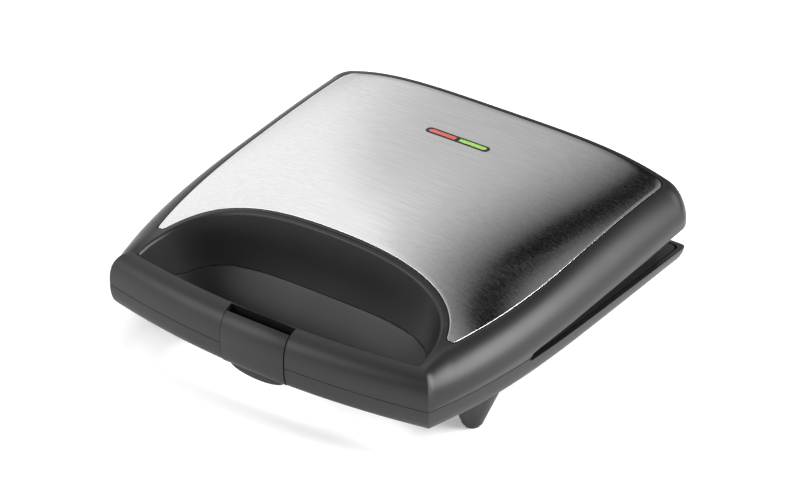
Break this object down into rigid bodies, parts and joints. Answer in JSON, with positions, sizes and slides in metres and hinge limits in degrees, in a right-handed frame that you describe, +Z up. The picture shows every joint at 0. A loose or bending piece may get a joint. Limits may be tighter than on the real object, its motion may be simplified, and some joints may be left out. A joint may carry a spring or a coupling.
{
  "type": "donut maker",
  "caption": "Clamshell donut maker: hinged lid with a brushed steel panel, non-stick ring-mould plates, pivoting front latch, indicator lenses, open handle well and cone feet.",
  "frame": {"origin": "on the surface that the feet stand on, below the middle of the overall width and depth", "axes": "+X to the right seen from the front, +Y from the handle to the hinge, +Z up"},
  "size_m": [0.2366, 0.228, 0.0796],
  "materials": {
    "moulded_black": "moulded black plastic, satin",
    "inner_black": "moulded black plastic, fine texture",
    "panel_steel": "brushed stainless steel, brushed from side to side",
    "coated_aluminium": "cast aluminium with a dark non-stick coating",
    "heater_sheath": "steel heater sheath, heat tinted",
    "sheet_metal": "pressed aluminised sheet",
    "screw_steel": "zinc plated steel",
    "pin_steel": "turned steel",
    "foot_rubber": "soft black rubber",
    "red_clear": "moulded red acrylic",
    "green_clear": "moulded green acrylic",
    "lamp_glass": "clear neon lamp",
    "terminal_ceramic": "glazed ceramic",
    "terminal_brass": "turned brass",
    "thermostat_body": "moulded phenolic resin",
    "fuse_steel": "plated can"
  },
  "bodies": {
    "base": {"base_housing": "moulded_black", "lower_frame": "inner_black", "lower_plate": "coated_aluminium", "lower_element": "heater_sheath", "lower_heat_shield": "sheet_metal", "lower_element_clamps": "sheet_metal", "lower_plate_screws": "screw_steel", "foot_pads": "foot_rubber", "cord_gland": "inner_black", "terminal_block": "terminal_ceramic", "terminal_screws": "terminal_brass", "hinge_pins": "pin_steel"},
    "lid": {"upper_housing": "moulded_black", "top_panel": "panel_steel", "indicator_bezel": "inner_black", "red_lens": "red_clear", "green_lens": "green_clear", "lamp_holder": "inner_black", "indicator_lamps": "lamp_glass", "upper_frame": "inner_black", "upper_plate": "coated_aluminium", "upper_element": "heater_sheath", "upper_heat_shield": "sheet_metal", "upper_element_clamps": "sheet_metal", "upper_plate_screws": "screw_steel", "thermostat": "thermostat_body", "thermal_fuse": "fuse_steel", "thermal_fuse_clip": "sheet_metal", "latch_pin": "pin_steel"},
    "latch": {"latch": "moulded_black"}
  },
  "joints": [
    {"name": "lid_hinge", "type": "hinge", "parent": "base", "child": "lid", "pos_m": [0, 0.1, 0.0422], "axis": [-1, 0, 0], "range_deg": [0, 95]},
    {"name": "latch_pivot", "type": "hinge", "parent": "lid", "child": "latch", "pos_m": [0, -0.1088, 0.0452], "axis": [-1, 0, 0], "range_deg": [0, 40]}
  ]
}
